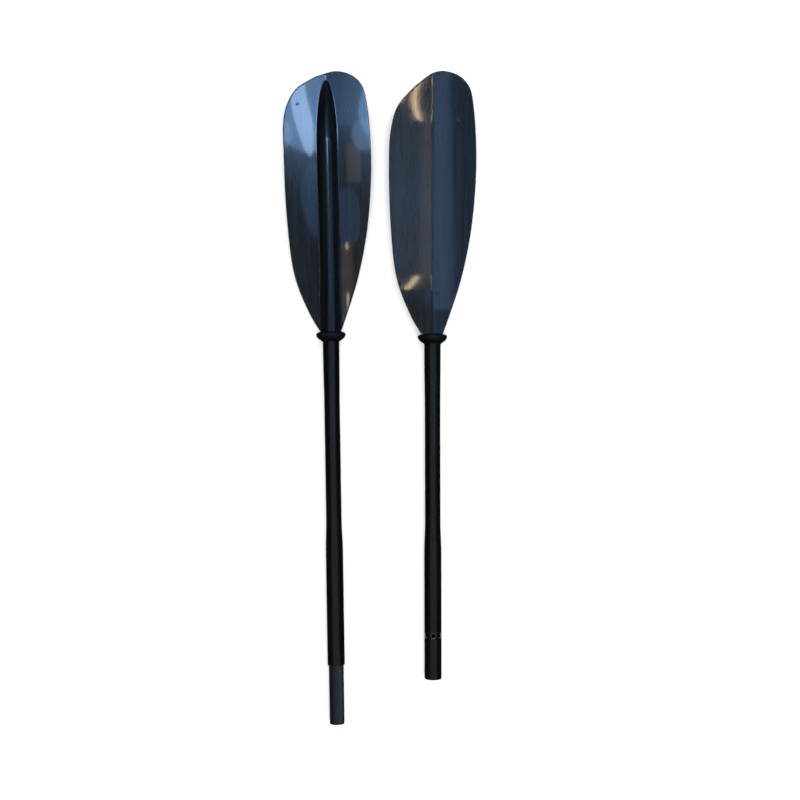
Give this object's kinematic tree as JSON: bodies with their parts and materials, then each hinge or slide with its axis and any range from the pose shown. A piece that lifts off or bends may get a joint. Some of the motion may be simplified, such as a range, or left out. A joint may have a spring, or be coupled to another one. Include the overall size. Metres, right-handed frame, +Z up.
{
  "type": "kayak paddle",
  "caption": "Take-down kayak paddle lying in its two halves: asymmetric spooned blades with a back rib, oval-gripped tube shafts, ferrule with snap button, feather holes and rubber drip rings.",
  "frame": {"origin": "middle of the box round both halves, on the ground they lie on", "axes": "+Y along the shafts towards the blades' tips, +Z up, +X from the male half to the female half"},
  "size_m": [0.3536, 1.1996, 0.054],
  "materials": {
    "blade_plastic": "satin",
    "shaft_composite": "satin",
    "ferrule_composite": "matte",
    "cap_plastic": "matte",
    "foam": "matte",
    "steel": "satin",
    "rubber": "matte"
  },
  "bodies": {
    "male_half": {"male_blade": "blade_plastic", "male_blade_core": "foam", "male_shaft": "shaft_composite", "male_shaft_end_plug": "foam", "ferrule": "ferrule_composite", "ferrule_end_plug": "cap_plastic", "button_spring": "steel"},
    "female_half": {"female_blade": "blade_plastic", "female_blade_core": "foam", "female_shaft": "shaft_composite", "female_shaft_end_plug": "foam", "socket_plug": "foam"},
    "button": {"snap_button": "steel"},
    "male_ring": {"male_drip_ring": "rubber"},
    "female_ring": {"female_drip_ring": "rubber"}
  },
  "joints": [
    {"name": "feather_turn", "type": "hinge", "parent": "male_half", "child": "female_half", "pos_m": [0.09664, 0.11138, 0.027], "axis": [-0.0024, 0.9998, 0.018], "range_deg": [-60, 60]},
    {"name": "snap_button_press", "type": "slide", "parent": "male_half", "child": "button", "axis": [0.0002, -0.0145, 0.9999], "range_m": [0, 0.004], "stiffness_N_per_m": 3000, "springref_m": -0.004, "deforming": ["button_spring"]},
    {"name": "male_drip_ring_slide", "type": "slide", "parent": "male_half", "child": "male_ring", "axis": [0.0154, -0.9998, -0.0146], "range_m": [0, 0.12]},
    {"name": "female_drip_ring_slide", "type": "slide", "parent": "female_half", "child": "female_ring", "axis": [0.0024, -0.9998, -0.018], "range_m": [0, 0.12]}
  ]
}
